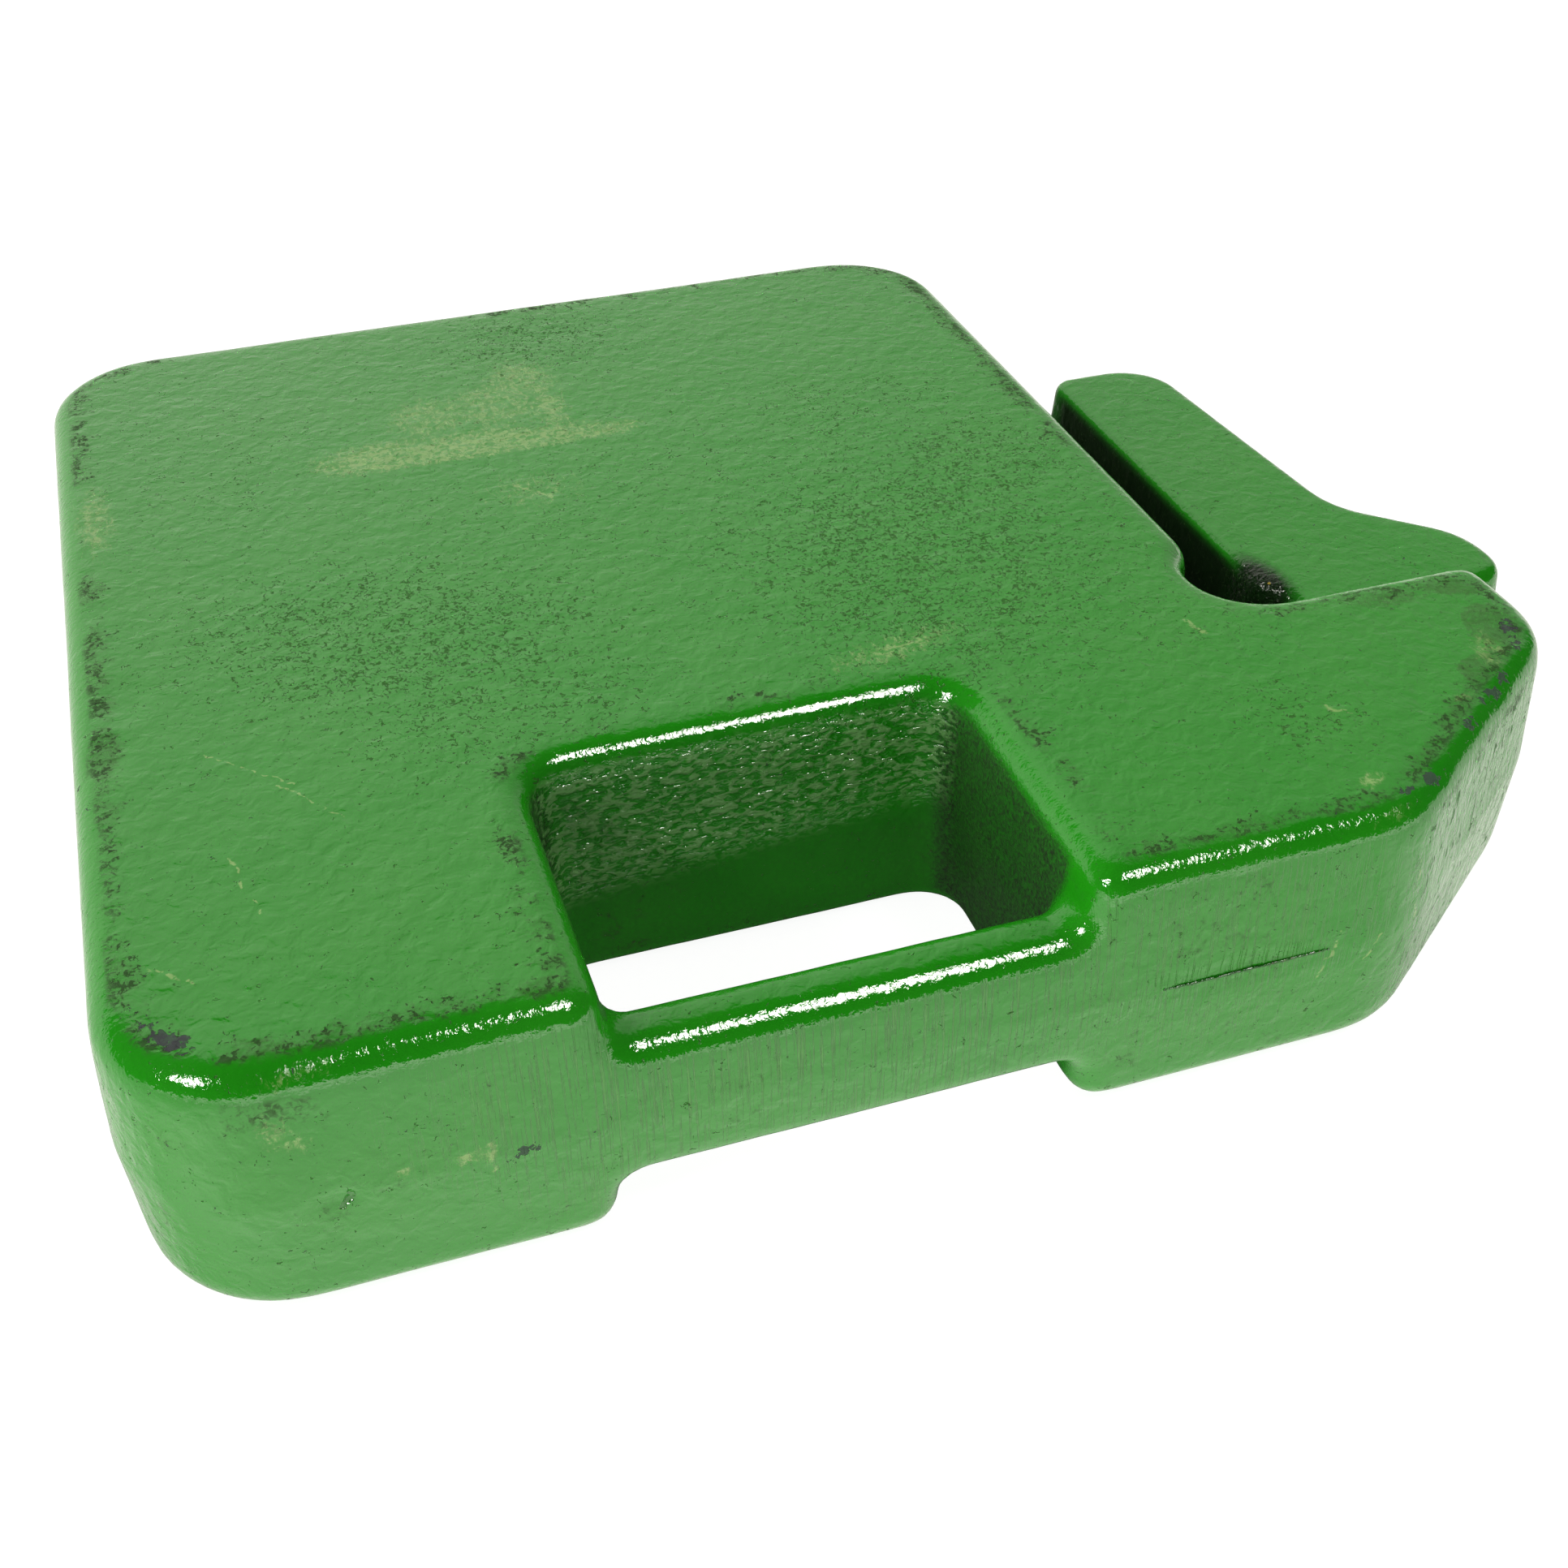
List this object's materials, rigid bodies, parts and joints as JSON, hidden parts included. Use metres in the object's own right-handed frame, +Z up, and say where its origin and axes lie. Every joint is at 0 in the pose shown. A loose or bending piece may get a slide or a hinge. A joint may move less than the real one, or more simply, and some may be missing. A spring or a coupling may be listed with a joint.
{
  "type": "tractor suitcase weight",
  "caption": "Flat green-painted iron ballast weight with a hand window, recessed handle bar, cut-off nose and a thinner hook arm that hangs it on a bracket bar.",
  "frame": {"origin": "centre of the bottom of the bounding box", "axes": "+X along the handle edge towards the hook, +Y from the handle edge to the plain back edge, +Z up through the thickness"},
  "size_m": [0.2834, 0.2522, 0.0508],
  "materials": {
    "green_enamel": "glossy green enamel over a rough cast skin, scuffed on the edges"
  },
  "bodies": {
    "root": {"suitcase_weight": "green_enamel"}
  },
  "joints": []
}
